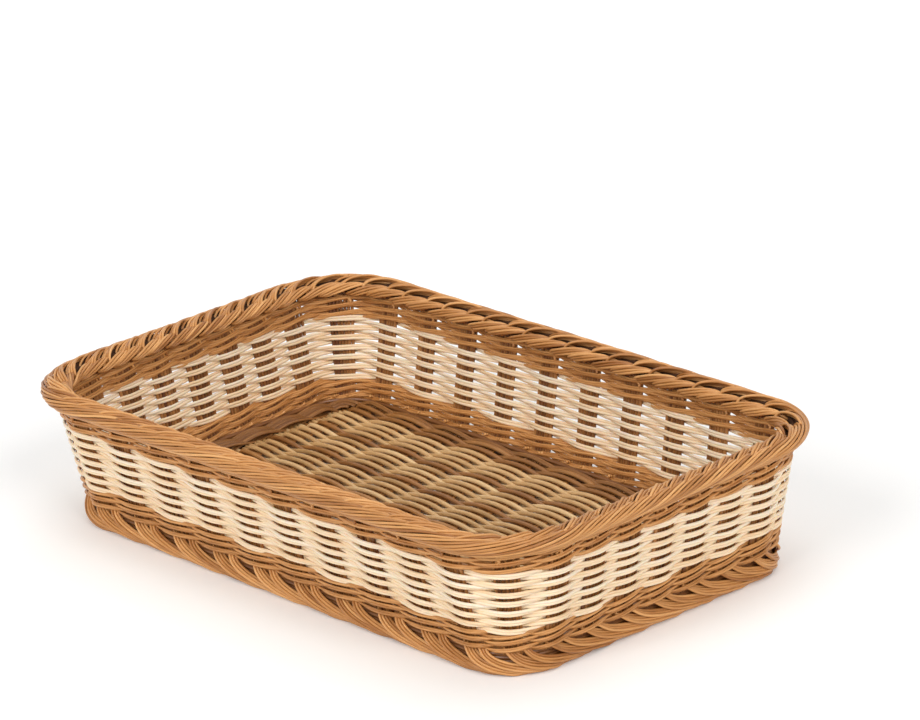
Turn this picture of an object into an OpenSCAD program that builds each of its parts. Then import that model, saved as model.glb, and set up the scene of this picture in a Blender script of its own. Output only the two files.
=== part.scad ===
// Rectangular bread basket, woven from plastic cane on a leaning wall of stakes.
// Origin at the middle of the footprint, on the surface the basket stands on.
// X runs along the long side, Y along the short side, Z up.

/* [Overall] */
// Length over the rim
rim_length = 530; // [400:1:700]
// Width over the rim
rim_width = 325; // [260:1:450]
// Height from the table to the top of the rim
height = 107; // [95:1:150]

/* [Wall] */
// Lean of the walls away from upright, in degrees
wall_lean = 11.3; // [6:0.1:16]
// Corner radius of the wall at table height, along the middle of the stakes
corner_radius = 35; // [28:1:50]
// Height of the middle of the floor above the table
floor_level = 14.8; // [13:0.1:18]
// Step from the middle of the floor up to the first woven row
first_row_step = 3.2; // [2:0.1:6]

/* [Stakes] */
// Diameter of one strand of a stake
stake_strand = 2.0; // [1.6:0.1:2.2]
// Strands side by side in one stake
strands_per_stake = 7; // [4:1:8]
// Space between the strands of a stake at table height
strand_space = 0.15; // [0.05:0.05:0.3]
// Spaces between stakes along a long side
long_bays = 9; // [7:2:11]
// Spaces between stakes along a short side
short_bays = 6; // [4:2:6]

/* [Weaving] */
// Thickness of a woven strand, measured through the wall
weaver_thickness = 1.8; // [1.2:0.1:2.2]
// Height of one brown strand in the rows above and below the cream band
wale_strand = 1.65; // [1.4:0.05:1.8]
// Space between one strand and the next above it
row_space = 0.1; // [0.05:0.05:0.2]
// Space between a stake and the strand that passes it
stake_space = 0.4; // [0.3:0.05:0.6]

/* [Rim] */
// Diameter of the rolled border
roll_size = 15; // [13:0.5:18]
// Distance of the middle of the roll outside the stakes
roll_flare = 5.6; // [5:0.1:6]
// Diameter of the twisted rope inside the rim
rope_size = 8.4; // [6:0.1:9]
// Diameter of the steel wire in the roll
wire_size = 4; // [3:0.5:5]

/* [Floor] */
// Width of one floor strand
floor_strand = 3.4; // [2.8:0.1:3.8]
// Space between floor strands
floor_space = 0.7; // [0.4:0.1:1]
// Thickness of one floor strand
floor_thickness = 2.8; // [2:0.1:3]
// Brown strands along each edge of the floor
edge_strands = 4; // [2:1:5]
// Cream strands in one stripe of the floor
cream_stripe = 7; // [5:1:7]

/* [Foot] */
// Diameter of the ring the basket stands on
foot_size = 9.8; // [9:0.1:11]
// Width of the flat on the underside of the ring
foot_flat = 3.4; // [2:0.1:4]
// Distance of the middle of the ring outside the stakes
foot_flare = 1.2; // [0.5:0.1:1.5]

/* [Hidden] */
$fn = 64;
CREAM_ROWS = 13;
CREAM_NAMES = [for (row = [1:CREAM_ROWS]) str("cream_row_", row < 10 ? "0" : "", row)];

brown = "#c08a52";
dark_brown = "#7d5430";
cream = "#f3dcb8";
steel = "#9a9da0";

fit_gap = 0.3;            // clearance where one piece seats on another
brown_stripe = 2;         // brown strands between two cream stripes of the floor
strands_per_weaver = 2;   // strands that run together, in front of a stake and then behind the next
weavers_per_wale = 2;     // weavers in one brown row, in opposite steps
roll_tuck = 1;            // how far the top brown row tucks up under the roll
stake_tuck = 1;           // how far the stakes reach past the middle of the roll
stake_foot = 5;           // height at which the stakes start, inside the foot
corner_bays = 2;          // spaces between stakes round one corner
corner_flat = 0.27;       // share of a corner space in which a strand runs level past its stake
skirt_hold = 0.95;        // share of the foot ring's radius at which its skirt starts

lean = tan(wall_lean);
roll_z = height - roll_size / 2;

// Outline of the stakes' middle at table height: half sizes, and the corners' centres
half_length = rim_length / 2 - lean * roll_z - roll_flare - roll_size / 2;
half_width = rim_width / 2 - lean * roll_z - roll_flare - roll_size / 2;
centre_x = half_length - corner_radius;
centre_y = half_width - corner_radius;

long_step = 2 * centre_x / long_bays;
short_step = 2 * centre_y / short_bays;
corner_step = 90 / corner_bays;

// A full turn is counted in stakes, from the front left end of the front side
right_start = long_bays + corner_bays;
half_turn = right_start + short_bays + corner_bays;
full_turn = 2 * half_turn;

// Heights of the woven bands
wale_pitch = weavers_per_wale * strands_per_weaver * (wale_strand + row_space);
lower_wale_z = floor_level + first_row_step;
cream_z = lower_wale_z + 2 * wale_pitch;
upper_wale_top = height - roll_size + roll_tuck;
upper_wale_z = upper_wale_top - 2 * wale_pitch;
cream_pitch = (upper_wale_z - cream_z) / CREAM_ROWS;
cream_strand = cream_pitch / strands_per_weaver - row_space;

stake_top = roll_z + stake_tuck;
stake_half = stake_strand / 2;
strand_pitch = stake_strand + strand_space;
bundle_half = (strands_per_stake - 1) / 2 * strand_pitch + stake_half;
weave_reach = stake_half + stake_space + weaver_thickness / 2;
weave_outside = weave_reach + weaver_thickness / 2;

// Point of the wall: turn in stakes, distance outside the outline at table height
function half_point(t, out) =
    t < long_bays ? [-centre_x + t * long_step, -(half_width + out)] :
    t < right_start ? corner_point(-centre_y, -90 + (t - long_bays) * corner_step, out) :
    t < right_start + short_bays ? [half_length + out, -centre_y + (t - right_start) * short_step] :
    corner_point(centre_y, (t - right_start - short_bays) * corner_step, out);
function corner_point(y, angle, out) =
    [centre_x + (corner_radius + out) * cos(angle), y + (corner_radius + out) * sin(angle)];
function wall_point(turn, out) =
    let (t = (turn + full_turn) % full_turn)
    t < half_turn ? half_point(t, out) : -half_point(t - half_turn, out);

// Length at table height of the space that starts at a stake
function bay_length(stake) =
    let (t = (stake + full_turn) % half_turn)
    t < long_bays ? long_step :
    t < right_start ? corner_length :
    t < right_start + short_bays ? short_step : corner_length;
corner_length = corner_radius * corner_step * PI / 180;
function is_corner(stake) =
    let (t = (stake + full_turn) % half_turn)
    (t >= long_bays && t < right_start) || t >= right_start + short_bays;

// Steps of a strand across one space, as [share of the space, side]; side 1 is the side it starts on
function straight_steps(flat) = [[flat, 1], [1 - flat, -1]];
corner_steps = [
    [0, 1], [corner_flat / 2, 1], [corner_flat, 1], [0.5, 0],
    [1 - corner_flat, -1], [1 - corner_flat / 2, -1], [1, -1]
];
function bay_steps(stake) =
    is_corner(stake)
        ? [for (i = [0:len(corner_steps) - (is_corner(stake + 1) ? 2 : 1)]) corner_steps[i]]
        : straight_steps((bundle_half + stake_half) / bay_length(stake));

// Outline of a woven strand, moved out from its middle by a distance
function weave_line(z, first_side, out) = [
    for (stake = [0:full_turn - 1], step = bay_steps(stake))
        let (side = first_side * (stake % 2 == 0 ? 1 : -1) * step[1])
        wall_point(stake + step[0], lean * z + side * weave_reach + out)
];

module woven_strand(z, strand_height, first_side) {
    middle = z + strand_height / 2;
    translate([0, 0, z])
        linear_extrude(height = strand_height)
            difference() {
                polygon(weave_line(middle, first_side, weaver_thickness / 2));
                polygon(weave_line(middle, first_side, -weaver_thickness / 2));
            }
}

// Several strands on the same side of each stake, one above the other
module weaver(z, strand_height, first_side) {
    for (strand = [0:strands_per_weaver - 1])
        woven_strand(z + strand * (strand_height + row_space), strand_height, first_side);
}

module cream_row(row) {
    color(cream)
        weaver(cream_z + (row - 1) * cream_pitch, cream_strand, row % 2 == 0 ? -1 : 1);
}

module wale_row(z) {
    weaver_pitch = wale_pitch / weavers_per_wale;
    color(brown)
        for (i = [0:weavers_per_wale - 1])
            weaver(z + i * weaver_pitch, wale_strand, i % 2 == 0 ? 1 : -1);
}

// A section, drawn as [distance outside the outline, height], carried round the basket
module round_basket() {
    for (turn = [0:3]) {
        across = turn % 2 == 1;
        side = across ? half_width : half_length;
        run = across ? centre_x : centre_y;
        rotate([0, 0, 90 * turn]) {
            translate([side, run, 0])
                rotate([90, 0, 0])
                    linear_extrude(height = 2 * run)
                        children();
            translate([side - corner_radius, run, 0])
                rotate_extrude(angle = 90)
                    translate([corner_radius, 0])
                        children();
        }
    }
}

// Band of the section that leans with the stakes, between two heights
module leaning_band(z1, z2, inside, outside) {
    polygon([
        [lean * z1 + inside, z1], [lean * z1 + outside, z1],
        [lean * z2 + outside, z2], [lean * z2 + inside, z2]
    ]);
}

roll_x = lean * roll_z + roll_flare;
rope_z = roll_z;
rope_x = lean * rope_z - stake_half - fit_gap - rope_size / 2;

module rim_wire() {
    color(steel)
        round_basket()
            translate([roll_x, roll_z])
                circle(d = wire_size);
}

// Outer roll of the border: it hooks over the stakes and covers the top brown row
module rim_roll() {
    slot_top = stake_top + fit_gap;
    color(brown)
        round_basket()
            difference() {
                translate([roll_x, roll_z])
                    circle(d = roll_size);
                translate([roll_x, roll_z])
                    circle(d = wire_size + 2 * fit_gap);
                leaning_band(roll_z - roll_size, slot_top, -roll_size, stake_half + fit_gap);
                leaning_band(
                    roll_z - roll_size, upper_wale_top + fit_gap, -roll_size, weave_outside + fit_gap
                );
                translate([rope_x, rope_z])
                    circle(d = rope_size + 2 * fit_gap);
            }
}

module rim_rope() {
    color(brown)
        round_basket()
            translate([rope_x, rope_z])
                circle(d = rope_size);
}

// Border that wraps the lower ends of the stakes, with a flat to stand on
module foot_border() {
    foot_r = foot_size / 2;
    foot_z = sqrt(foot_r * foot_r - foot_flat * foot_flat / 4);
    foot_x = lean * foot_z + foot_flare;
    skirt_top = lower_wale_z - fit_gap;
    slot = stake_half + fit_gap;
    color(brown)
        round_basket()
            difference() {
                union() {
                    translate([foot_x, foot_z])
                        circle(d = foot_size);
                    polygon([
                        [foot_x, foot_z], [foot_x + foot_r * skirt_hold, foot_z],
                        [lean * skirt_top + weave_outside, skirt_top], [lean * skirt_top, skirt_top]
                    ]);
                }
                translate([foot_x - foot_size, -foot_size])
                    square([2 * foot_size, foot_size]);
                leaning_band(stake_foot - fit_gap, lower_wale_z, -slot, slot);
            }
}

module rod(from, to, size) {
    way = to - from;
    translate(from)
        rotate([0, acos(way[2] / norm(way)), atan2(way[1], way[0])])
            cylinder(h = norm(way), d = size);
}

// One stake: strands side by side, fanning out where the wall is round
module stake(turn) {
    for (strand = [0:strands_per_stake - 1]) {
        along = (strand - (strands_per_stake - 1) / 2) * strand_pitch;
        t = turn + along / bay_length(along < 0 ? turn - 1 : turn);
        low = wall_point(t, lean * stake_foot);
        top = wall_point(t, lean * stake_top);
        rod([low[0], low[1], stake_foot], [top[0], top[1], stake_top], stake_strand);
    }
}

module stake_row(first, last) {
    color(dark_brown)
        for (turn = [first:last])
            stake(turn);
}

// Sticks across the floor, each one in line with the stakes of the long sides
module floor_sticks() {
    reach = half_width + lean * floor_level - stake_half - fit_gap;
    color(dark_brown)
        for (stick = [0:long_bays], strand = [0:strands_per_stake - 1]) {
            along = (strand - (strands_per_stake - 1) / 2) * strand_pitch;
            x = -centre_x + stick * long_step + along;
            rod([x, -reach, floor_level], [x, reach, floor_level], stake_strand);
        }
}

floor_pitch = floor_strand + floor_space;
floor_reach = stake_half + fit_gap / 2 + floor_thickness / 2;
floor_inner = lean * floor_level - stake_half - fit_gap;
stripe_pitch = cream_stripe + brown_stripe;
// Largest number of cream stripes that leaves the edge strands inside the long walls
floor_room = 2 * (half_width + floor_inner - weaver_thickness) / floor_pitch - 2 * edge_strands;
cream_stripes = floor((floor_room + brown_stripe) / stripe_pitch);
floor_cream_count = cream_stripes * stripe_pitch - brown_stripe;
floor_count = floor_cream_count + 2 * edge_strands;

function is_cream(strand) =
    let (i = strand - edge_strands)
    i >= 0 && i < floor_cream_count && i % stripe_pitch < cream_stripe;

// Distance from the middle of the floor to the short wall, at a distance from the long axis
function floor_end(y) =
    let (past = max(0, abs(y) - centre_y), r = corner_radius + floor_inner)
    centre_x + sqrt(r * r - past * past);

module floor_strand_line(strand) {
    y = (strand - (floor_count - 1) / 2) * floor_pitch;
    end = floor_end(abs(y) + floor_strand / 2);
    level = bundle_half + stake_half;
    side = strand % 2 == 0 ? 1 : -1;
    path = concat(
        [[-end, 0], [-centre_x - 2 * level, 0]],
        [for (stick = [0:long_bays], edge = [-level, level])
            [-centre_x + stick * long_step + edge, side * (stick % 2 == 0 ? 1 : -1) * floor_reach]],
        [[centre_x + 2 * level, 0], [end, 0]]
    );
    lower = [for (i = [len(path) - 1:-1:0]) path[i] - [0, floor_thickness / 2]];
    upper = [for (p = path) p + [0, floor_thickness / 2]];
    translate([0, y + floor_strand / 2, floor_level])
        rotate([90, 0, 0])
            linear_extrude(height = floor_strand)
                polygon(concat(upper, lower));
}

module floor_cream_strands() {
    color(cream)
        for (strand = [0:floor_count - 1])
            if (is_cream(strand)) floor_strand_line(strand);
}

module floor_brown_strands() {
    color(brown)
        for (strand = [0:floor_count - 1])
            if (!is_cream(strand)) floor_strand_line(strand);
}

rim_wire();
rim_roll();
rim_rope();
foot_border();
stake_row(0, long_bays);  // front_stakes
stake_row(half_turn, half_turn + long_bays);  // back_stakes
stake_row(right_start, right_start + short_bays);  // right_stakes
stake_row(half_turn + right_start, half_turn + right_start + short_bays);  // left_stakes
stake_row(long_bays + 1, long_bays + 1);  // front_right_corner_stake
stake_row(half_turn - 1, half_turn - 1);  // back_right_corner_stake
stake_row(half_turn + long_bays + 1, half_turn + long_bays + 1);  // back_left_corner_stake
stake_row(full_turn - 1, full_turn - 1);  // front_left_corner_stake
floor_sticks();
floor_cream_strands();
floor_brown_strands();
wale_row(lower_wale_z);  // lower_wale_1
wale_row(lower_wale_z + wale_pitch);  // lower_wale_2
wale_row(upper_wale_z);  // upper_wale_1
wale_row(upper_wale_z + wale_pitch);  // upper_wale_2
for (row = [1:CREAM_ROWS])
    cream_row(row);
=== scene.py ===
import math
import random

import bpy
import numpy as np
from mathutils import Matrix, Vector


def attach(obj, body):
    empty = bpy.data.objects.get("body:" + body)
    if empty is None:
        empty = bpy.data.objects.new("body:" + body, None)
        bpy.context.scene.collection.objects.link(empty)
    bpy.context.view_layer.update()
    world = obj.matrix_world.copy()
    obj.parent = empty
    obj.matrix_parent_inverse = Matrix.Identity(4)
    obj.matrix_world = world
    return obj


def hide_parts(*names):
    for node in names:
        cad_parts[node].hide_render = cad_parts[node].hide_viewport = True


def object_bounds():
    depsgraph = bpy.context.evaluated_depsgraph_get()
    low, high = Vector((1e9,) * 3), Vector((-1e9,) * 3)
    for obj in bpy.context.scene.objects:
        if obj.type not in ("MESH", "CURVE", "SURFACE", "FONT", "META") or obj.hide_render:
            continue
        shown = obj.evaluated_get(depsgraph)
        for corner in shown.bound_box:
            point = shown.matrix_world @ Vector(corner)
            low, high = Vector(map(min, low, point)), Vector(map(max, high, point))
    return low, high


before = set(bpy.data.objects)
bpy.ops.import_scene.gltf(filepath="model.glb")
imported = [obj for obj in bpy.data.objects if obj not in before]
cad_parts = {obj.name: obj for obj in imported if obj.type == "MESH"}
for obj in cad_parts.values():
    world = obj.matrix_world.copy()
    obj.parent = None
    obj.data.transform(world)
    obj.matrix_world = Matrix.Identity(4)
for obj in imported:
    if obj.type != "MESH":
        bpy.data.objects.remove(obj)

# Bread basket woven from polypropylene cane. A weave is hundreds of strands that cross
# and wrap round one another, so each strand is swept along its own route: turn (counted
# in stakes round the wall), out (mm from the stakes' line on the floor) and height (mm).

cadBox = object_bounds()
mm = 0.001
shuffle = random.Random(41)
print("frame loaded:", len(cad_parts), "nodes")

cameraView = {
    "azimuth": 49.3,        # degrees round from the long front side
    "elevation": 20.28,
    "roll": -4.01,
    "distance": 3.883,      # metres from the middle of the footprint
    "right": 0.0238,
    "up": 0.1268,
    "lens": 215.2,
}


def addCamera(view):
    az = math.radians(view["azimuth"])
    el = math.radians(view["elevation"])
    roll = math.radians(view["roll"])
    back = Vector((math.sin(az) * math.cos(el), -math.cos(az) * math.cos(el), math.sin(el)))
    right = (-back).cross(Vector((0, 0, 1))).normalized()
    up = right.cross(-back)
    turnedRight = right * math.cos(roll) + up * math.sin(roll)
    turnedUp = up * math.cos(roll) - right * math.sin(roll)
    place = back * view["distance"] + turnedRight * view["right"] + turnedUp * view["up"]
    bpy.ops.object.select_all(action="DESELECT")
    bpy.ops.object.camera_add(location=place)
    camera = bpy.context.object
    camera.name = "camera"
    axes = Matrix((turnedRight, turnedUp, back)).transposed().to_4x4()
    camera.matrix_world = Matrix.Translation(place) @ axes
    camera.data.lens = view["lens"]
    camera.data.sensor_width = 36
    camera.data.clip_end = 60
    bpy.context.scene.camera = camera


addCamera(cameraView)
print("camera set")


def linearColour(hexText):
    # sRGB hex to the linear values that the shaders take
    parts = [int(hexText[i:i + 2], 16) / 255 for i in (1, 3, 5)]
    return tuple([p / 12.92 if p <= 0.04045 else ((p + 0.055) / 1.055) ** 2.4 for p in parts] + [1.0])


def addNode(tree, kind, settings=None, **inputs):
    # i0, i1 and so on name an input by its number, any other word names it by its label
    node = tree.nodes.new(kind)
    for key, value in (settings or {}).items():
        setattr(node, key, value)
    for key, value in inputs.items():
        isNumber = key[0] == "i" and key[1:].isdigit()
        socket = node.inputs[int(key[1:]) if isNumber else key.replace("_", " ")]
        if isinstance(value, bpy.types.NodeSocket):
            tree.links.new(value, socket)
        else:
            socket.default_value = value
    return node


def newMaterial(name):
    material = bpy.data.materials.new(name)
    material.use_nodes = True
    material.node_tree.nodes.clear()
    return material, material.node_tree


caneFinish = {
    "ribsRound": 9,          # fine drawn ribs round a strand
    "ribDepth": 0.00005,     # metres
    "streakLength": 0.03,    # metres along the strand from one tint to the next
    "streakScale": 2.4,
    "streakShift": 57.0,     # streak lengths between one tint's streaks and the next one's
    "grainScale": 1400.0,    # grains in a metre
    "roughLow": 0.30,
    "roughHigh": 0.46,
    "ior": 1.49,             # polypropylene
    "scatterDepth": 0.0015,  # metres
}


def caneMaterial(name, lightHex, midHex, darkHex, finish=caneFinish, seeThrough=0.0):
    # Polypropylene cane, drawn through a die and left unpainted: a satin skin with fine ribs
    # along each strand, dyed in the mass, so the tint drifts from strand to strand.
    material, tree = newMaterial(name)
    strip = addNode(tree, "ShaderNodeUVMap", {"uv_map": "strip"})
    split = addNode(tree, "ShaderNodeSeparateXYZ", i0=strip.outputs[0])
    tint = addNode(tree, "ShaderNodeAttribute", {"attribute_name": "tint"})
    # u runs round the strand from 0 to 1, v along it in metres
    ribAngle = addNode(tree, "ShaderNodeMath", {"operation": "MULTIPLY"}, i0=split.outputs[0],
                       i1=2 * math.pi * finish["ribsRound"])
    rib = addNode(tree, "ShaderNodeMath", {"operation": "SINE"}, i0=ribAngle.outputs[0])
    along = addNode(tree, "ShaderNodeMath", {"operation": "DIVIDE"}, i0=split.outputs[1],
                    i1=finish["streakLength"])
    shifted = addNode(tree, "ShaderNodeMath", {"operation": "MULTIPLY_ADD"}, i0=tint.outputs["Fac"],
                      i1=finish["streakShift"], i2=along.outputs[0])
    streakPlace = addNode(tree, "ShaderNodeCombineXYZ", i0=split.outputs[0], i1=shifted.outputs[0], i2=0.0)
    streak = addNode(tree, "ShaderNodeTexNoise", {"noise_dimensions": "2D"}, Vector=streakPlace.outputs[0],
                     Scale=finish["streakScale"], Detail=3.0, Roughness=0.6)
    fine = addNode(tree, "ShaderNodeTexNoise", {"noise_dimensions": "3D"}, Scale=finish["grainScale"], Detail=2.0,
                   Vector=addNode(tree, "ShaderNodeTexCoord").outputs["Object"])
    tone = addNode(tree, "ShaderNodeMath", {"operation": "MULTIPLY_ADD"}, i0=streak.outputs[0], i1=0.5,
                   i2=tint.outputs["Fac"])
    toneShift = addNode(tree, "ShaderNodeMath", {"operation": "SUBTRACT"}, i0=tone.outputs[0], i1=0.25)
    ramp = addNode(tree, "ShaderNodeValToRGB", Fac=toneShift.outputs[0])
    stops = ramp.color_ramp.elements
    stops[0].position, stops[0].color = 0.1, linearColour(darkHex)
    stops[1].position, stops[1].color = 0.9, linearColour(lightHex)
    middle = stops.new(0.5)
    middle.color = linearColour(midHex)
    # the ribs are painted a little darker in their grooves: painted shade in the recesses
    grooveShade = addNode(tree, "ShaderNodeMapRange", Value=rib.outputs[0], From_Min=-1.0, From_Max=1.0,
                     To_Min=0.93, To_Max=1.0)
    grooveShadeGrey = addNode(tree, "ShaderNodeCombineXYZ", i0=grooveShade.outputs[0], i1=grooveShade.outputs[0],
                         i2=grooveShade.outputs[0])
    colour = addNode(tree, "ShaderNodeMix", {"data_type": "RGBA", "blend_type": "MULTIPLY"}, i0=1.0,
                     i6=ramp.outputs[0], i7=grooveShadeGrey.outputs[0])
    rough = addNode(tree, "ShaderNodeMapRange", Value=fine.outputs[0], From_Min=0.3, From_Max=0.7,
                    To_Min=finish["roughLow"], To_Max=finish["roughHigh"])
    height = addNode(tree, "ShaderNodeMath", {"operation": "MULTIPLY_ADD"}, i0=fine.outputs[0], i1=0.6,
                     i2=rib.outputs[0])
    bump = addNode(tree, "ShaderNodeBump", Strength=1.0, Distance=finish["ribDepth"], Height=height.outputs[0])
    shader = addNode(tree, "ShaderNodeBsdfPrincipled", Base_Color=colour.outputs[2], Roughness=rough.outputs[0],
                     IOR=finish["ior"], Normal=bump.outputs[0])
    shader.inputs["Subsurface Weight"].default_value = seeThrough
    shader.inputs["Subsurface Scale"].default_value = finish["scatterDepth"]
    shader.inputs["Subsurface Radius"].default_value = (1.0, 0.5, 0.22)
    addNode(tree, "ShaderNodeOutputMaterial", Surface=shader.outputs[0])
    return material


def wireMaterial():
    # Bright drawn steel wire, unpainted: a cool grey with a fine grain in tone and gloss.
    material, tree = newMaterial("drawn_steel_wire")
    place = addNode(tree, "ShaderNodeTexCoord")
    grain = addNode(tree, "ShaderNodeTexNoise", Vector=place.outputs["Object"], Scale=900.0, Detail=3.0)
    tone = addNode(tree, "ShaderNodeValToRGB", Fac=grain.outputs[0])
    tone.color_ramp.elements[0].color = linearColour("#9a9c9f")
    tone.color_ramp.elements[1].color = linearColour("#c3c5c8")
    rough = addNode(tree, "ShaderNodeMapRange", Value=grain.outputs[0], To_Min=0.25, To_Max=0.45)
    shader = addNode(tree, "ShaderNodeBsdfPrincipled", Base_Color=tone.outputs[0], Roughness=rough.outputs[0],
                     Metallic=1.0)
    addNode(tree, "ShaderNodeOutputMaterial", Surface=shader.outputs[0])
    return material


honeyCane = caneMaterial("honey_polypropylene_cane", "#e9ae6c", "#cf9151", "#a4672d")
creamCane = caneMaterial("cream_polypropylene_cane", "#ffeed5", "#fde0ba", "#efc896", seeThrough=0.15)
# a darker copy of the honey cane, as painted shade on the stakes, the floor sticks and the foot core
shadedHoneyCane = caneMaterial("shaded_honey_polypropylene_cane", "#b67e48", "#925f2f", "#683b1b")
# a darker copy of the cream cane, as painted shade on the floor inside the basket
shadedFloorCreamCane = caneMaterial("shaded_cream_floor_polypropylene_cane", "#e2be8a", "#cca26c", "#a67e4c", seeThrough=0.05)
# a darker copy of the honey cane, as painted shade on the floor and along the foot of the wall
shadedFloorHoneyCane = caneMaterial("shaded_honey_floor_polypropylene_cane", "#bd874e", "#9d6935", "#784b22")
# a near-black copy of the cane, as painted shade for strands seen only in the roll's gaps
shadeDarkCoreCane = caneMaterial("shade_dark_core_polypropylene_cane", "#6f451f", "#573315", "#3d220c",
                        finish=dict(caneFinish, roughLow=0.7, roughHigh=0.9))
steelWire = wireMaterial()
print("materials made")

wall = {
    "lean": math.tan(math.radians(11.3)),   # out per mm of height
    "cornerRadius": 35.0,
    "rimReach": 33.0,                        # mm from the stakes' line to the rim's widest place
    "longStakes": 10,
    "shortStakes": 7,
    "cornerMiddle": 15.0,                    # mm outside the stakes' line where a corner's bay is measured
}
centreX = cadBox[1][0] / mm - wall["cornerRadius"] - wall["rimReach"]
centreY = cadBox[1][1] / mm - wall["cornerRadius"] - wall["rimReach"]
longBays = wall["longStakes"] - 1
shortBays = wall["shortStakes"] - 1
longStep = 2 * centreX / longBays
shortStep = 2 * centreY / shortBays
halfTurns = longBays + 2 + shortBays + 2     # stakes from the front left to the back right corner
turnsRound = 2 * halfTurns


def planPoint(turn, out):
    # turn counts stakes from the front left corner, out is measured from the stakes' line on the floor
    turn = np.mod(np.asarray(turn, float), turnsRound)
    out = np.asarray(out, float) + np.zeros_like(turn)
    half = turn >= halfTurns
    t = np.where(half, turn - halfTurns, turn)
    radius = wall["cornerRadius"] + out
    angle1 = np.radians(-90 + 45 * (t - longBays))
    angle2 = np.radians(45 * (t - longBays - 2 - shortBays))
    parts = [t < longBays, t < longBays + 2, t < longBays + 2 + shortBays]
    alongShort = -centreY + (t - longBays - 2) * shortStep
    x = np.select(parts, [-centreX + t * longStep, centreX + radius * np.cos(angle1), centreX + radius],
                  centreX + radius * np.cos(angle2))
    y = np.select(parts, [-centreY - radius, -centreY + radius * np.sin(angle1), alongShort],
                  centreY + radius * np.sin(angle2))
    flip = np.where(half, -1.0, 1.0)
    return np.stack([x * flip, y * flip], -1)


def wallPath(turn, out, height):
    # points in mm of a strand that runs at these turns, distances out and heights
    turn, out, height = [np.asarray(values, float) for values in (turn, out, height)]
    turn, out, height = np.broadcast_arrays(turn, out, height)
    return np.concatenate([planPoint(turn, out), height[..., None]], -1)


def leanOut(height):
    return wall["lean"] * np.asarray(height, float)


def bayLength(turn):
    # mm of wall from one stake to the next
    t = turn % halfTurns
    if t < longBays:
        return longStep
    if t < longBays + 2 or t >= longBays + 2 + shortBays:
        return math.radians(45) * (wall["cornerRadius"] + wall["cornerMiddle"])
    return shortStep


def smoothThrough(points, count):
    # Catmull-Rom curve through rows of numbers, with evenly spread samples
    p = np.asarray(points, float)
    p = np.vstack([2 * p[0] - p[1], p, 2 * p[-1] - p[-2]])
    steps = np.linspace(0, len(p) - 3, count)
    i = np.minimum(steps.astype(int), len(p) - 4)
    f = (steps - i)[:, None]
    a, b, c, d = p[i], p[i + 1], p[i + 2], p[i + 3]
    return 0.5 * (2 * b + (c - a) * f + (2 * a - 5 * b + 4 * c - d) * f ** 2 + (3 * b - a - 3 * c + d) * f ** 3)


def bundlePath(dense, centre):
    # rows of turn, out, height, sideways shift and lift: the shifts lie in the skin of a roll
    # round the section's centre and square to the strand, so neighbours stay side by side
    turn, out, height, shift, lift = dense.T
    path = wallPath(turn, out, height)
    ahead = np.gradient(path, axis=0)
    ahead /= np.linalg.norm(ahead, axis=1)[:, None]
    away = planPoint(turn, out + 1) - planPoint(turn, out)
    normal = np.concatenate([away * (out - centre[0])[:, None], (height - centre[1])[:, None]], 1)
    normal -= ahead * np.sum(normal * ahead, axis=1)[:, None]
    normal /= np.linalg.norm(normal, axis=1)[:, None]
    return path + np.cross(ahead, normal) * shift[:, None] + normal * lift[:, None]


def sweep(path, radius, sides, closed, upright):
    # ring vertices, quads and strip UVs of one tube. An upright one doesn't roll, and its radius
    # is a pair, half its thickness and half its height.
    n = len(path)
    ahead = np.roll(path, -1, 0) - np.roll(path, 1, 0)
    if not closed:
        ahead[0] = path[1] - path[0]
        ahead[-1] = path[-1] - path[-2]
    ahead /= np.linalg.norm(ahead, axis=1)[:, None]
    side = np.cross(ahead, (0, 0, 1))
    if upright:
        side /= np.linalg.norm(side, axis=1)[:, None]
    else:
        if np.linalg.norm(side[0]) < 0.25:
            side[0] = np.cross(ahead[0], (0.6, 0.8, 0))
        side[0] /= np.linalg.norm(side[0])
        # carry the side vector along, so that the tube doesn't twist suddenly
        for k in range(1, n):
            carried = side[k - 1] - ahead[k] * (side[k - 1] @ ahead[k])
            side[k] = carried / np.linalg.norm(carried)
        if closed:
            # spread the angle left over at the seam along the whole strand
            last = side[-1] - ahead[0] * (side[-1] @ ahead[0])
            last /= np.linalg.norm(last)
            gap = math.atan2(np.cross(last, side[0]) @ ahead[0], last @ side[0])
            turnBy = gap * np.arange(n) / n
            up = np.cross(ahead, side)
            side = side * np.cos(turnBy)[:, None] + up * np.sin(turnBy)[:, None]
    up = np.cross(side, ahead)
    wide, tall = radius if upright else (radius, radius)
    angle = np.linspace(0, 2 * math.pi, sides, endpoint=False)
    ring = (side[:, None, :] * (wide * np.cos(angle))[None, :, None]
            + up[:, None, :] * (tall * np.sin(angle))[None, :, None])
    verts = path[:, None, :] + ring
    length = np.concatenate([[0], np.cumsum(np.linalg.norm(np.diff(path, axis=0), axis=1))]) * mm
    i = np.arange(n if closed else n - 1)[:, None]
    j = np.arange(sides)[None, :]
    i2 = (i + 1) % n
    j2 = (j + 1) % sides
    quads = np.stack([i * sides + j, i2 * sides + j, i2 * sides + j2, i * sides + j2], -1).reshape(-1, 4)
    u1, u2 = np.broadcast_arrays(j / sides + 0.0 * i, (j + 1) / sides + 0.0 * i)
    v1 = length[i] + 0.0 * j
    v2 = v1 + (np.linalg.norm(path[i2] - path[i], axis=-1) * mm)
    corners = [(u1, v1), (u1, v2), (u2, v2), (u2, v1)]
    uv = np.stack([np.stack(corner, -1) for corner in corners], 2)
    return verts.reshape(-1, 3), quads, uv.reshape(-1, 2)


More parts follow.
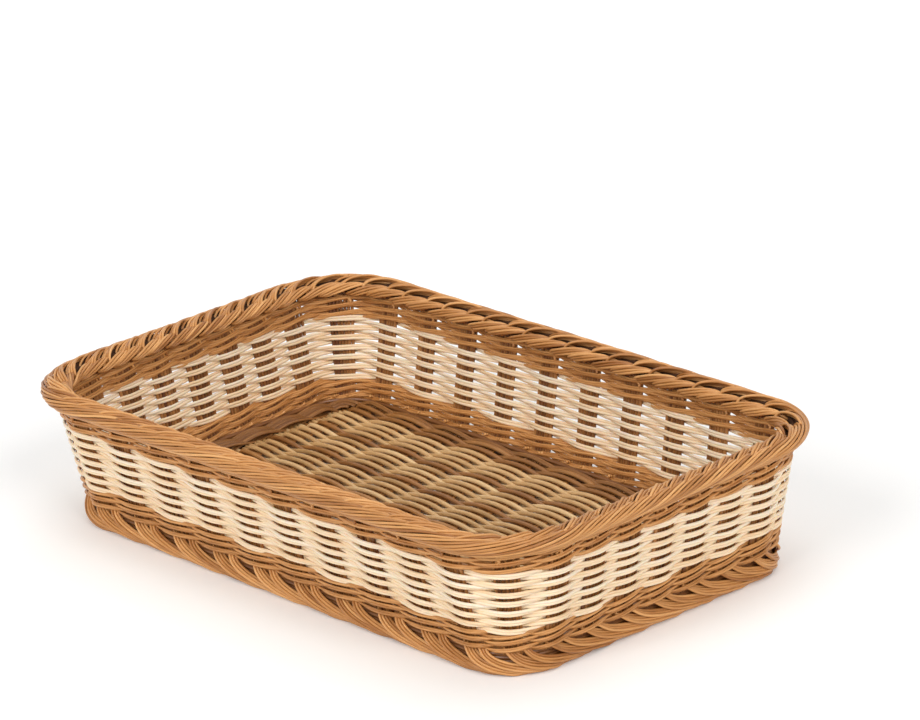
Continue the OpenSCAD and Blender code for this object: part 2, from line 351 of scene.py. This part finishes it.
def strandPiece(name, strands, material, nodes, sides=8, closed=False, upright=False):
    # strands is a list of (path in mm, radius in mm, tint from 0 to 1); open ones get flat ends
    verts, quads, uvs, tints, caps = [], [], [], [], []
    base = 0
    for path, radius, tint in strands:
        v, q, uv = sweep(np.asarray(path, float), radius, sides, closed, upright)
        verts.append(v)
        quads.append(q + base)
        uvs.append(uv)
        tints.append(np.full(len(v), tint))
        if not closed:
            caps.append(base + np.arange(sides))
            caps.append(base + len(v) - sides + np.arange(sides)[::-1])
        base += len(v)
    quads = np.concatenate(quads)
    uvs = np.concatenate(uvs)
    loops = quads.reshape(-1)
    starts = np.arange(len(quads)) * 4
    if caps:
        caps = np.concatenate(caps)
        starts = np.concatenate([starts, len(loops) + np.arange(len(caps) // sides) * sides])
        loops = np.concatenate([loops, caps])
        uvs = np.concatenate([uvs, np.zeros((len(caps), 2))])
    mesh = bpy.data.meshes.new(name)
    mesh.vertices.add(base)
    mesh.vertices.foreach_set("co", (np.concatenate(verts) * mm).astype(np.float32).ravel())
    mesh.loops.add(len(loops))
    mesh.loops.foreach_set("vertex_index", loops.astype(np.int32))
    mesh.polygons.add(len(starts))
    mesh.polygons.foreach_set("loop_start", starts.astype(np.int32))
    mesh.update(calc_edges=True)
    mesh.uv_layers.new(name="strip").data.foreach_set("uv", uvs.astype(np.float32).ravel())
    tintLayer = mesh.attributes.new("tint", "FLOAT", "POINT")
    tintLayer.data.foreach_set("value", np.concatenate(tints).astype(np.float32))
    mesh.polygons.foreach_set("use_smooth", np.ones(len(starts), bool))
    mesh.validate()
    mesh.materials.append(material)
    piece = bpy.data.objects.new(name, mesh)
    bpy.context.scene.collection.objects.link(piece)
    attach(piece, "root")
    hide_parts(*nodes)
    return piece


def pickTint(middle=0.5, spread=0.18):
    # 0 is the darkest tint of a strand's material and 1 the lightest
    return min(1.0, max(0.0, shuffle.gauss(middle, spread)))


stakes = {
    "strands": 7,
    "pitch": 2.62,           # mm from strand to strand
    "radius": 1.29,
    "wander": 0.12,          # mm that a strand strays along the wall
    "waver": 0.25,           # mm that it strays in or out
    # out from the leaning line, and height: each stake bends in under the floor
    "longRoute": [(-9.0, 14.8), (-5.0, 14.6), (-1.6, 15.4), (-0.2, 18.5)],
    "shortRoute": [(-25.0, 12.6), (-12.0, 12.8), (-2.6, 14.2), (-0.2, 18.5)],
    "bendHeight": 16,        # mm, where the leaning line of the routes above is taken
    "levels": [32.0, 48.0, 64.0, 80.0, 92.0, 99.5],
    "samples": 26,
}


def stakeStrands(first, last, s=stakes):
    out = []
    route = s["longRoute"] if bayLength(first + 0.1) == longStep else s["shortRoute"]
    bendOut = leanOut(s["bendHeight"])
    for stake in range(first, last + 1):
        bay = (bayLength(stake - 0.5) + bayLength(stake + 0.5)) / 2
        for k in range(s["strands"]):
            place = (k - (s["strands"] - 1) / 2) * s["pitch"]
            rows = [(stake + place / bay, bendOut + away, height) for away, height in route]
            for height in s["levels"]:
                stray = shuffle.uniform(-1, 1) * s["wander"]
                away = leanOut(height) + s["waver"] * shuffle.uniform(-1, 1)
                rows.append((stake + (place + stray) / bay, away, height))
            dense = smoothThrough(rows, s["samples"])
            out.append((wallPath(dense[:, 0], dense[:, 1], dense[:, 2]), s["radius"], pickTint(0.5, 0.22)))
    return out


stakeGroups = [
    ("front_stake_strands", 0, 9, "front_stakes"),
    ("front_right_stake_strands", 10, 10, "front_right_corner_stake"),
    ("right_stake_strands", 11, 17, "right_stakes"),
    ("back_right_stake_strands", 18, 18, "back_right_corner_stake"),
    ("back_stake_strands", 19, 28, "back_stakes"),
    ("back_left_stake_strands", 29, 29, "back_left_corner_stake"),
    ("left_stake_strands", 30, 36, "left_stakes"),
    ("front_left_stake_strands", 37, 37, "front_left_corner_stake"),
]
for name, first, last, node in stakeGroups:
    strandPiece(name, stakeStrands(first, last), shadedHoneyCane, [node], sides=8)
print("stakes made")

creamBand = {
    "rows": 13,
    "bottom": 32.0,
    "top": 79.0,
    "strand": (1.02, 1.16),  # half the thickness and half the height of a strand, mm
    "reachOut": 3.7,         # mm from the stakes' middle at an outside pass
    "reachIn": 2.4,
    "sharpness": 1.35,       # above 1 a strand is at its full reach for a shorter way
    "pairHeight": 0.98,      # mm from the row's middle to each strand, at a pass
    "crossTurn": 46.0,       # degrees that the pair rolls over between stakes
    "rollSharpness": 1.2,
    "drift": [(0.18, 5), (0.12, 11)],   # mm that a row wanders up and down, and how often round the wall
    "samples": 12,
}


def creamRow(row, c=creamBand):
    pitch = (c["top"] - c["bottom"]) / c["rows"]
    middle = c["bottom"] + (row + 0.5) * pitch
    turn = np.arange(turnsRound * c["samples"]) / c["samples"]
    parity = 1 if row % 2 == 0 else -1
    wave = np.cos(math.pi * turn) * parity
    depth = np.where(wave > 0, c["reachOut"], -c["reachIn"]) * np.abs(wave) ** c["sharpness"]
    # a slow wander of the row, the same for both strands
    phase = shuffle.uniform(0, 6.28)
    (slow, slowTimes), (quick, quickTimes) = c["drift"]
    drift = (slow * np.sin(turn * 2 * math.pi * slowTimes / turnsRound + phase)
             + quick * np.sin(turn * 2 * math.pi * quickTimes / turnsRound + 2 * phase))
    side = np.sign(np.sin(math.pi * turn))
    roll = np.radians(c["crossTurn"]) * (1 - np.abs(wave) ** c["rollSharpness"]) * side * parity
    strands = []
    for part in (-1, 1):
        height = middle + drift + part * c["pairHeight"] * np.cos(roll)
        inOut = depth + part * c["pairHeight"] * np.sin(roll)
        strands.append((wallPath(turn, leanOut(height) + inOut, height), c["strand"], pickTint(0.55, 0.16)))
    return strands


for row in range(creamBand["rows"]):
    strandPiece("cream_weave_%02d" % (row + 1), creamRow(row), creamCane,
                ["cream_row_%02d" % (row + 1)], sides=8, closed=True, upright=True)
print("cream band woven")

wale = {
    # the brown rows: each is a pair of three strand bundles that change sides between the stakes.
    # The last number is the height of the row's middle in mm.
    "rows": [
        ("lower_wale_1_strands", "lower_wale_1", 19.4),
        ("lower_wale_2_strands", "lower_wale_2", 25.0),
        ("lower_wale_top_strands", "lower_wale_2", 30.1),
        ("upper_wale_1_strands", "upper_wale_1", 80.6),
        ("upper_wale_2_strands", "upper_wale_2", 86.3),
        ("upper_wale_top_strands", "upper_wale_2", 91.9),
    ],
    "radius": 0.87,
    "reachOut": 3.2,
    "reachIn": 2.7,
    "squareness": 0.9,       # below 1 a pass runs flatter over the stakes
    "rise": 1.5,             # mm up or down where the two bundles cross
    "pitch": 0.86,           # mm between the strands of a bundle over a stake
    "crossPitch": 1.6,
    "crossLean": 48.0,       # degrees that a bundle leans where the two cross
    "ridge": 1.25,           # mm, shared out as below
    "ridgeShares": {-1: -0.4, 0: 0.6, 1: -0.4},   # the middle strand stands out over a stake, the others in
    "drift": (0.15, 7),      # mm that a bundle wanders up and down, and how often round the wall
    "samples": 10,
}


def waleRow(middle, w=wale):
    turn = np.arange(turnsRound * w["samples"]) / w["samples"]
    strands = []
    for start in (0.0, math.pi):
        twist = math.pi * turn + start
        over = np.abs(np.cos(twist))
        depth = np.where(np.cos(twist) > 0, w["reachOut"], -w["reachIn"]) * over ** w["squareness"]
        lift = w["rise"] * np.sin(twist)
        lean = np.radians(w["crossLean"]) * (1 - over)
        gap = w["pitch"] * over + w["crossPitch"] * (1 - over)
        phase = shuffle.uniform(0, 6.28)
        far, times = w["drift"]
        drift = far * np.sin(turn * 2 * math.pi * times / turnsRound + phase)
        for part in (-1, 0, 1):
            height = middle + drift + lift + part * gap * np.cos(lean)
            inOut = depth + part * gap * np.sin(lean)
            inOut = inOut + w["ridge"] * w["ridgeShares"][part] * np.cos(twist)
            strands.append((wallPath(turn, leanOut(height) + inOut, height), w["radius"], pickTint(0.5, 0.15)))
    return strands


for name, node, middle in wale["rows"]:
    strandPiece(name, waleRow(middle), honeyCane, [node], sides=7, closed=True)
print("brown bands woven")

rim = {
    "radius": 0.96,
    "pitch": 2.0,
    "centre": (25.0, 99.5),
    # turn, out, height, how far the two pairs are spread and how far each pair is
    "route": [
        (-0.16, 17.4, 87.5, 0.0, 0.0),
        (-0.08, 18.9, 91.2, 0.0, 0.0),
        (0.12, 21.9, 92.6, 0.5, 0.5),
        (0.50, 25.0, 94.3, 1.0, 1.0),
        (0.97, 28.4, 96.5, 1.0, 1.0),
        (1.38, 31.0, 99.1, 1.0, 1.0),
        (1.72, 31.9, 102.0, 1.0, 1.0),
        (2.09, 29.9, 104.6, 1.0, 0.9),
        (2.40, 27.4, 105.6, 1.0, 0.7),
        (2.62, 25.0, 105.0, 1.0, 0.5),
        (2.76, 23.2, 102.6, 1.0, 0.3),
        (2.82, 22.6, 99.5, 1.0, 0.2),
    ],
    "stray": 0.45,           # mm that a strand lies higher or lower in the skin of the roll
    "wander": 0.02,          # turns that it lies off its place
    "samples": 50,
}


def rimStrands(r=rim):
    halves = [[], []]
    for stake in range(turnsRound):
        for pair in (-1, 1):
            for member in (-1, 1):
                lift = shuffle.uniform(-1, 1) * r["stray"]
                wander = shuffle.uniform(-r["wander"], r["wander"])
                rows = []
                for turn, out, height, pairShare, memberShare in r["route"]:
                    at = stake + turn + (0.25 * pair + wander) * pairShare + 0.125 * member * memberShare
                    shift = r["pitch"] * (pair * (1 - pairShare) + 0.5 * member * (1 - memberShare))
                    rows.append((at, out, height, shift, lift * pairShare))
                path = bundlePath(smoothThrough(rows, r["samples"]), r["centre"])
                halves[0 if stake < halfTurns else 1].append((path, r["radius"], pickTint(0.5, 0.2)))
    return halves


rimHalves = rimStrands()
strandPiece("rim_roll_strands_front", rimHalves[0], honeyCane, ["rim_roll"], sides=8)
strandPiece("rim_roll_strands_back", rimHalves[1], honeyCane, ["rim_roll"], sides=8)

# strands that fill the roll, each at its out and height; their near-black cane and dark tints are painted shade
# in the roll's gaps
rimCore = {
    "places": [(22.6, 99.8), (26.4, 101.2), (28.0, 98.4), (24.8, 96.8), (21.4, 96.0), (18.6, 98.6)],
    "radius": 2.1,
}


def coreStrands(c=rimCore):
    turn = np.arange(turnsRound * 4) / 4
    return [(wallPath(turn, out, height), c["radius"], pickTint(0.25, 0.1)) for out, height in c["places"]]


strandPiece("rim_core_strands", coreStrands(), shadeDarkCoreCane, ["rim_roll"], sides=8, closed=True)
print("rim rolled")

rope = {
    "radius": 0.98,
    "pitch": 1.98,
    "centre": (16.0, 99.6),
    # turns after the stake where a lobe starts, and its strands over the roll and inside it
    "groups": [(0.0, 4, 3), (0.43, 4, 3)],
    # turn, out, height: over the top of the roll and down between the inner lobes
    "over": [
        (-0.10, 28.4, 102.9), (0.04, 26.5, 104.8), (0.20, 24.0, 105.5), (0.36, 20.8, 105.4), (0.48, 18.2, 104.2),
        (0.55, 16.3, 101.9), (0.58, 15.7, 99.2), (0.61, 16.8, 96.4),
    ],
    # and on from there, down the inside of the rim
    "inside": [
        (0.42, 20.6, 98.6), (0.50, 18.6, 101.4), (0.58, 16.6, 103.0), (0.70, 14.4, 103.2), (0.86, 12.6, 102.2),
        (1.02, 11.5, 100.6), (1.18, 11.1, 98.7), (1.31, 11.9, 97.0), (1.40, 14.4, 95.8),
    ],
    "bulge": 0.3,            # mm that a lobe's middle stands out
    "stray": 0.1,
    "samples": 24,
}


def ropeStrands(route, part, r=rope):
    out = []
    for stake in range(turnsRound):
        for start, *counts in r["groups"]:
            for k in range(counts[part]):
                place = k - (counts[part] - 1) / 2
                lift = r["bulge"] * (1 - abs(place)) + shuffle.uniform(-r["stray"], r["stray"])
                rows = [(stake + start + turn, away, height, place * r["pitch"], lift)
                        for turn, away, height in route]
                path = bundlePath(smoothThrough(rows, r["samples"]), r["centre"])
                out.append((path, r["radius"], pickTint(0.5, 0.2)))
    return out


strandPiece("rim_over_strands", ropeStrands(rope["over"], 0), honeyCane, ["rim_rope"], sides=8)
strandPiece("rim_rope_strands", ropeStrands(rope["inside"], 1), honeyCane, ["rim_rope"], sides=8)
print("rope laid")

foot = {
    "radius": 0.99,
    "pitch": 1.98,
    "centre": (0.8, 4.9),
    "groups": [(0.0, 4), (0.36, 3)],      # where a bundle comes down after its stake, and its strands
    "stretch": 2.1,          # a claw runs out flatter where the stakes stand closer
    "claw": 0.66,            # turns of the route that stretch
    "stray": 0.15,
    # turn, out, height and how much the second bundle drops back on the ring
    "route": [
        (-0.10, 1.6, 21.0, 0.0),
        (-0.03, 4.3, 17.6, 0.0),
        (0.05, 5.6, 14.2, 0.0),
        (0.18, 6.2, 10.8, 0.02),
        (0.38, 6.4, 7.8, 0.06),
        (0.64, 6.1, 5.4, 0.11),
        (0.94, 5.3, 3.4, 0.14),
        (1.26, 3.9, 1.9, 0.14),
        (1.58, 1.9, 1.2, 0.14),
        (1.88, -0.4, 1.4, 0.14),
        (2.10, -2.4, 2.6, 0.14),
    ],
    "samples": 40,
}


def footStrands(f=foot):
    halves = [[], []]
    for stake in range(turnsRound):
        flatter = (longStep / bayLength(stake + 0.5)) ** f["stretch"]
        for start, count in f["groups"]:
            for k in range(count):
                place = k - (count - 1) / 2
                lift = shuffle.uniform(-f["stray"], f["stray"])
                rows = []
                for turn, out, height, drop in f["route"]:
                    ahead = min(turn, f["claw"]) * flatter + max(turn - f["claw"], 0)
                    at = stake + start + ahead + (drop if start > 0 else 0)
                    rows.append((at, out, height, place * f["pitch"], lift))
                path = bundlePath(smoothThrough(rows, f["samples"]), f["centre"])
                # the ring lies flat on the table
                path[:, 2] = np.maximum(path[:, 2], f["radius"])
                halves[0 if stake < halfTurns else 1].append((path, f["radius"], pickTint(0.5, 0.18)))
    return halves


footHalves = footStrands()
strandPiece("foot_strands_front", footHalves[0], honeyCane, ["foot_border"], sides=8)
strandPiece("foot_strands_back", footHalves[1], honeyCane, ["foot_border"], sides=8)

# strands behind the claws, each at its out and height, in the darker stake cane at a dark tint: painted shade in
# the openings between the claws
footCore = {
    "places": [(2.2, 3.6), (-0.6, 4.4), (2.6, 6.6), (1.6, 9.2), (1.2, 11.8), (1.0, 14.4), (0.7, 17.0)],
    "radius": 1.7,
    "tint": 0.3,
}


def footCoreStrands(c=footCore):
    turn = np.arange(turnsRound * 4) / 4
    return [(wallPath(turn, out, height), c["radius"], c["tint"]) for out, height in c["places"]]


strandPiece("foot_core_strands", footCoreStrands(), shadedHoneyCane, ["foot_border"],
            sides=8, closed=True)
print("foot border laid")

floorWeave = {
    "level": 14.8,
    "pitch": 4.1,
    "count": 60,
    "edge": 4,               # brown strands along each long wall
    "stripe": 7,             # cream strands, and then this many brown ones
    "brown": 2,
    "reach": 2.75,           # mm over or under a stick
    "squareness": 0.85,
    "radius": 1.75,
    "end": 214.0,            # mm from the middle to a strand's end
    "endStray": 2,
    "dipAfter": 8,           # mm past the last stick, where a strand dips under the wall
    "dip": 1.5,
    "sway": 0.15,            # mm that a strand sways along its length
    "swayLength": 31,        # mm of strand for one radian of sway
    "samples": 10,
}


def floorStrands(f=floorWeave):
    cream, brown = [], []
    for k in range(f["count"]):
        y = (k - (f["count"] - 1) / 2) * f["pitch"]
        isEdge = k < f["edge"] or k >= f["count"] - f["edge"]
        isBrown = isEdge or (k - f["edge"]) % (f["stripe"] + f["brown"]) >= f["stripe"]
        end = f["end"] + shuffle.uniform(-f["endStray"], f["endStray"])
        x = np.linspace(-end, end, int(2 * end / longStep * f["samples"]))
        wave = np.cos(math.pi * (x + centreX) / longStep) * (1 if k % 2 == 0 else -1)
        z = f["level"] + f["reach"] * np.sign(wave) * np.abs(wave) ** f["squareness"]
        z = np.where(np.abs(x) > centreX + f["dipAfter"], np.minimum(z, f["level"] - f["dip"]), z)
        path = np.stack([x, np.full_like(x, y) + f["sway"] * np.sin(x / f["swayLength"] + k), z], -1)
        (brown if isBrown else cream).append((path, f["radius"], pickTint(0.5, 0.15)))
    return cream, brown


floorCream, floorBrown = floorStrands()
strandPiece("floor_cream_weave", floorCream, shadedFloorCreamCane, ["floor_cream_strands"], sides=8)
strandPiece("floor_brown_weave", floorBrown, shadedFloorHoneyCane, ["floor_brown_strands"], sides=8)

floorStick = {"strands": 7, "pitch": 2.15, "radius": 1.0, "end": 128.0}


def floorSticks(s=floorStick):
    out = []
    for stick in range(wall["longStakes"]):
        for k in range(s["strands"]):
            x = -centreX + stick * longStep + (k - (s["strands"] - 1) / 2) * s["pitch"]
            y = np.linspace(-s["end"], s["end"], 12)
            path = np.stack([np.full_like(y, x), y, np.full_like(y, floorWeave["level"])], -1)
            out.append((path, s["radius"], pickTint()))
    return out


strandPiece("floor_stick_strands", floorSticks(), shadedHoneyCane, ["floor_sticks"], sides=6)

floorEdge = {
    "radius": 0.95,
    "pitch": 1.7,
    "level": 15.4,
    "wave": 2.4,             # mm up and down over the bent stakes
    "twist": 0.9,            # mm that a bundle swings in and out as it crosses the other
    "spacing": 0.8,          # share of the pitch between strands of a bundle
    "samples": 6,
    # out of each row's middle, and the turns that it runs between; the first goes all round
    "rows": [(-4.2, 0.0, 38.0), (-9.4, 9.6, 18.4), (-14.6, 9.8, 18.2), (-9.4, 28.6, 37.4), (-14.6, 28.8, 37.2)],
}


def floorEdgeStrands(e=floorEdge):
    out = []
    for row, (away, first, last) in enumerate(e["rows"]):
        turn = np.linspace(first, last, int((last - first) * e["samples"]) + 1)
        for start in (0.0, math.pi):
            for part in (-1, 0, 1):
                twist = math.pi * (turn + row) + start
                height = e["level"] + e["wave"] * np.cos(twist)
                place = away + part * e["pitch"] * e["spacing"] + e["twist"] * np.sin(twist)
                # darker tints than the other strands: painted shade along the foot of the wall
                out.append((wallPath(turn, place, height), e["radius"], pickTint(0.35, 0.15)))
    return out


strandPiece("floor_edge_strands", floorEdgeStrands(), shadedFloorHoneyCane,
            ["floor_brown_strands"], sides=6)
print("floor woven")

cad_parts["rim_wire"].data.materials.clear()
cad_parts["rim_wire"].data.materials.append(steelWire)

studio = {
    "floorHex": "#f8f8f7",
    "grainHex": "#fbfbfa",
    "floorSize": 40,         # metres
    "floorDrop": 0.0004,     # metres under the foot, so that the two don't share a plane
    # name, degrees round from the front, degrees up, strength and softness in degrees
    "lamps": [
        ("back_sun", 205.0, 72.0, 0.65, 50.0),
        ("key_sun", 80.0, 34.0, 1.22, 28.0),
        ("front_sun", 4.0, 34.0, 1.22, 32.0),
    ],
    "skyStrength": 0.43,
    "floorLift": 0.1,
}


def seenDirectly(tree):
    # 1 for the camera and for what shines or shows through, 0 for the light on the basket
    paths = addNode(tree, "ShaderNodeLightPath")
    seen = addNode(tree, "ShaderNodeMath", {"operation": "MAXIMUM"}, i0=paths.outputs["Is Camera Ray"],
                   i1=paths.outputs["Is Glossy Ray"])
    return addNode(tree, "ShaderNodeMath", {"operation": "MAXIMUM"}, i0=seen.outputs[0],
                   i1=paths.outputs["Is Transmission Ray"])


def floorMaterial(s=studio):
    # White paper sweep, uncoated: matt with a faint grain. It is lifted a little, so that it
    # reads white and still keeps the shadow.
    material, tree = newMaterial("white_paper_sweep")
    grain = addNode(tree, "ShaderNodeTexNoise", Scale=300.0,
                    Vector=addNode(tree, "ShaderNodeTexCoord").outputs["Object"])
    paper = addNode(tree, "ShaderNodeMix", {"data_type": "RGBA"}, i0=grain.outputs[0],
                    i6=linearColour(s["floorHex"]), i7=linearColour(s["grainHex"]))
    matt = addNode(tree, "ShaderNodeBsdfPrincipled", Base_Color=paper.outputs[2], Roughness=0.95)
    strength = addNode(tree, "ShaderNodeMath", {"operation": "MULTIPLY"}, i0=seenDirectly(tree).outputs[0],
                       i1=s["floorLift"])
    glow = addNode(tree, "ShaderNodeEmission", Strength=strength.outputs[0])
    both = addNode(tree, "ShaderNodeAddShader", i0=matt.outputs[0], i1=glow.outputs[0])
    addNode(tree, "ShaderNodeOutputMaterial", Surface=both.outputs[0])
    return material


def addStudio(s=studio):
    bpy.ops.object.select_all(action="DESELECT")
    bpy.ops.mesh.primitive_plane_add(size=s["floorSize"], location=(0, 0, -s["floorDrop"]))
    floor = bpy.context.object
    floor.name = "paper_floor"
    floor.data.materials.append(floorMaterial())
    for name, around, up, strength, softness in s["lamps"]:
        az = math.radians(around)
        el = math.radians(up)
        toward = Vector((math.sin(az) * math.cos(el), -math.cos(az) * math.cos(el), math.sin(el)))
        bpy.ops.object.select_all(action="DESELECT")
        bpy.ops.object.light_add(type="SUN", location=toward * 3)
        lamp = bpy.context.object
        lamp.name = name
        lamp.data.energy = strength
        lamp.data.angle = math.radians(softness)
        lamp.rotation_euler = toward.to_track_quat("Z", "Y").to_euler()
    world = bpy.data.worlds.new("studio")
    bpy.context.scene.world = world
    world.use_nodes = True
    tree = world.node_tree
    tree.nodes.clear()
    soft = addNode(tree, "ShaderNodeBackground", Color=(1, 1, 1, 1), Strength=s["skyStrength"])
    white = addNode(tree, "ShaderNodeBackground", Color=(1, 1, 1, 1), Strength=1.0)
    pick = addNode(tree, "ShaderNodeMixShader", i0=seenDirectly(tree).outputs[0], i1=soft.outputs[0],
                   i2=white.outputs[0])
    addNode(tree, "ShaderNodeOutputWorld", Surface=pick.outputs[0])


addStudio()
bpy.context.scene.view_settings.view_transform = "Standard"
print("studio set")

print("cad box", [[round(c, 4) for c in p] for p in cadBox])
